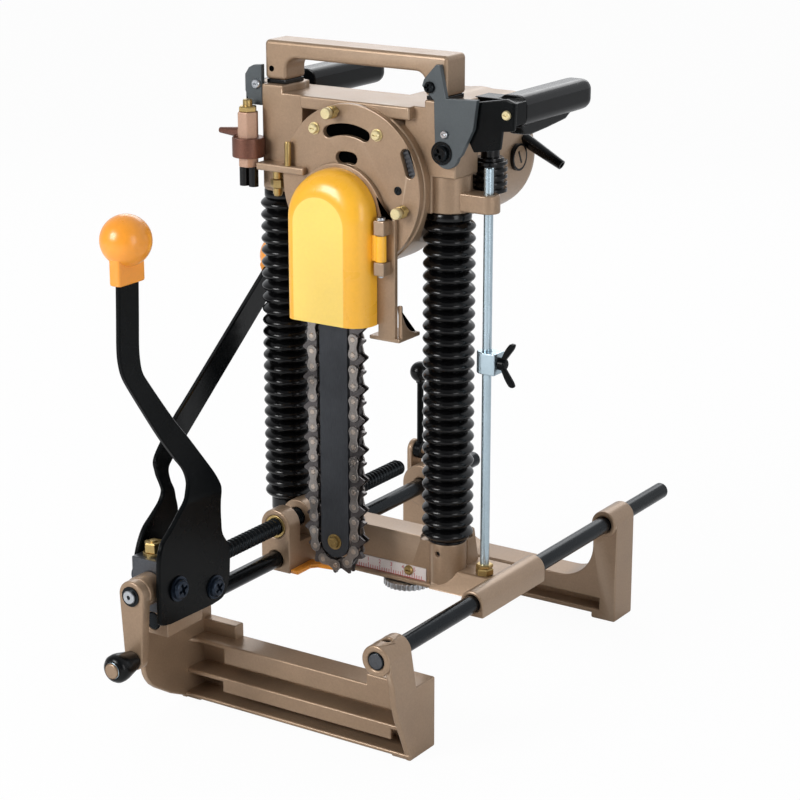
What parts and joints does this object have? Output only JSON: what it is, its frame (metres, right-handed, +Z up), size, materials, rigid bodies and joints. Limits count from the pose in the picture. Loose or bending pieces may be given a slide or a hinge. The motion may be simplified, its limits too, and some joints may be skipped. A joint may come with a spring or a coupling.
{
  "type": "chain mortiser",
  "caption": "Portable chain mortiser: a sprung motor head on bellowed columns plunges a guarded cutting chain into timber held between a jaw and a fence on guide rods.",
  "frame": {"origin": "mortise centre on top of the timber: on the chain's centre plane, midway between the columns, level with the saddle's underside", "axes": "+X to the right seen from the crank, +Y from the crank to the rear fence along the guide rods, +Z up along the columns"},
  "size_m": [0.263, 0.4773, 0.452],
  "materials": {
    "tan_paint": "satin",
    "black_paint": "gloss",
    "black_oxide": "satin",
    "dark_steel": "satin",
    "bright_steel": "satin",
    "zinc": "gloss",
    "brass": "satin",
    "copper": "satin",
    "orange_plastic": "gloss",
    "yellow_plastic": "gloss",
    "plate_grey": "satin",
    "black_plastic": "gloss",
    "rubber": "matte",
    "scale_white": "satin"
  },
  "bodies": {
    "jaw": {"front_jaw": "tan_paint", "guide_rods": "black_oxide", "lever_block": "dark_steel", "jaw_screws": "brass", "lever_pivots": "black_oxide"},
    "crank": {"feed_screw": "black_oxide", "crank_arm": "tan_paint", "crank_nut": "bright_steel"},
    "crank_knob": {"crank_knob": "black_plastic"},
    "clamp": {"clamp_lever": "black_paint", "clamp_ball": "orange_plastic", "link_screw": "black_oxide"},
    "release": {"release_lever": "black_paint", "release_ball": "orange_plastic"},
    "fence": {"rear_fence": "tan_paint"},
    "fence_lever": {"fence_lever": "black_paint", "fence_ball": "black_plastic"},
    "saddle": {"saddle": "tan_paint", "columns": "bright_steel", "left_bellows": "rubber", "right_bellows": "rubber", "return_springs": "bright_steel", "depth_rod": "zinc", "scale_plate": "scale_white", "saddle_fasteners": "brass", "index_strip": "orange_plastic", "feed_nut": "brass"},
    "guide_roller": {"guide_roller": "zinc"},
    "stop_collar": {"stop_collar": "zinc"},
    "wing_screw": {"wing_screw": "black_paint"},
    "head": {"head_casting": "tan_paint", "head_sleeves": "bright_steel", "front_cover": "tan_paint", "head_screws": "brass", "thumb_bolts": "brass", "thumb_springs": "zinc", "carry_handle": "tan_paint", "handle_gaskets": "rubber", "grip_plates": "plate_grey", "grip_brackets": "black_paint", "hand_grips": "rubber", "motor_housing": "tan_paint", "motor_field": "dark_steel", "brush_caps": "black_plastic", "bearings": "bright_steel", "chain_bar": "dark_steel", "chain": "dark_steel", "nose_bolt": "brass", "guard_bracket": "tan_paint", "hinge_pin": "bright_steel", "oiler_body": "copper", "oiler_fittings": "brass", "cord_gland": "rubber", "switch_boot": "rubber"},
    "trigger": {"trigger": "black_plastic"},
    "armature": {"armature": "bright_steel"},
    "spindle": {"drive_spindle": "bright_steel", "drive_gear": "bright_steel"},
    "nose_roller": {"nose_roller": "bright_steel"},
    "guard": {"chain_guard": "yellow_plastic"}
  },
  "joints": [
    {"name": "crank_turn", "type": "hinge", "parent": "jaw", "child": "crank", "pos_m": [-0.0487, -0.15, 0.0345], "axis": [0, 1, 0], "range_deg": [-2160, 5040]},
    {"name": "saddle_feed", "type": "slide", "parent": "jaw", "child": "saddle", "axis": [0, 1, 0], "range_m": [-0.024, 0.056]},
    {"name": "crank_knob_spin", "type": "hinge", "parent": "crank", "child": "crank_knob", "pos_m": [-0.0487, -0.18, -0.0115], "axis": [0, 1, 0], "continuous": true},
    {"name": "clamp_lever_swing", "type": "hinge", "parent": "jaw", "child": "clamp", "pos_m": [-0.0334, -0.143, 0.0345], "axis": [1, 0, 0], "range_deg": [-25, 5]},
    {"name": "release_lever_swing", "type": "hinge", "parent": "jaw", "child": "release", "pos_m": [-0.0685, -0.134, 0.0345], "axis": [1, 0, 0], "range_deg": [-15, 0]},
    {"name": "fence_slide", "type": "slide", "parent": "jaw", "child": "fence", "axis": [0, 1, 0], "range_m": [-0.045, 0.05]},
    {"name": "fence_lever_swing", "type": "hinge", "parent": "fence", "child": "fence_lever", "pos_m": [-0.05985, 0.203, 0.0335], "axis": [1, 0, 0], "range_deg": [-30, 30]},
    {"name": "guide_roller_spin", "type": "hinge", "parent": "saddle", "child": "guide_roller", "pos_m": [0.0376, 0.036, 0], "axis": [0, 0, 1], "continuous": true},
    {"name": "stop_collar_slide", "type": "slide", "parent": "saddle", "child": "stop_collar", "axis": [0, 0, 1], "range_m": [-0.08, 0]},
    {"name": "wing_screw_turn", "type": "hinge", "parent": "stop_collar", "child": "wing_screw", "pos_m": [0.11, 0.0387, 0.17125], "axis": [1, 0, 0], "continuous": true},
    {"name": "head_plunge", "type": "slide", "parent": "saddle", "child": "head", "axis": [0, 0, 1], "range_m": [-0.0965, 0], "stiffness_N_per_m": 500, "springref_m": 0.4, "deforming": ["left_bellows", "right_bellows", "return_springs"]},
    {"name": "trigger_pull", "type": "hinge", "parent": "head", "child": "trigger", "pos_m": [0.107, 0.065, 0.33555], "axis": [1, 0, 0], "range_deg": [0, 4], "stiffness_Nm_per_rad": 2, "springref_deg": -5.73},
    {"name": "motor_spin", "type": "hinge", "parent": "head", "child": "armature", "pos_m": [0.02, 0.1, 0.29425], "axis": [0, 1, 0], "continuous": true},
    {"name": "spindle_spin", "type": "hinge", "parent": "head", "child": "spindle", "pos_m": [0, 0.02, 0.268], "axis": [0, 1, 0], "continuous": true},
    {"name": "nose_roller_spin", "type": "hinge", "parent": "head", "child": "nose_roller", "pos_m": [0, 0, 0.031], "axis": [0, 1, 0], "continuous": true},
    {"name": "guard_swing", "type": "hinge", "parent": "head", "child": "guard", "pos_m": [0.0384, 0, 0.25], "axis": [0, 0, 1], "range_deg": [0, 100]}
  ],
  "couplings": [
    {"joint": "crank_turn", "follows": "saddle_feed", "rad_per_m": 1570.8},
    {"joint": "spindle_spin", "follows": "motor_spin", "ratio": -0.22222},
    {"joint": "nose_roller_spin", "follows": "motor_spin", "ratio": -0.2381}
  ]
}
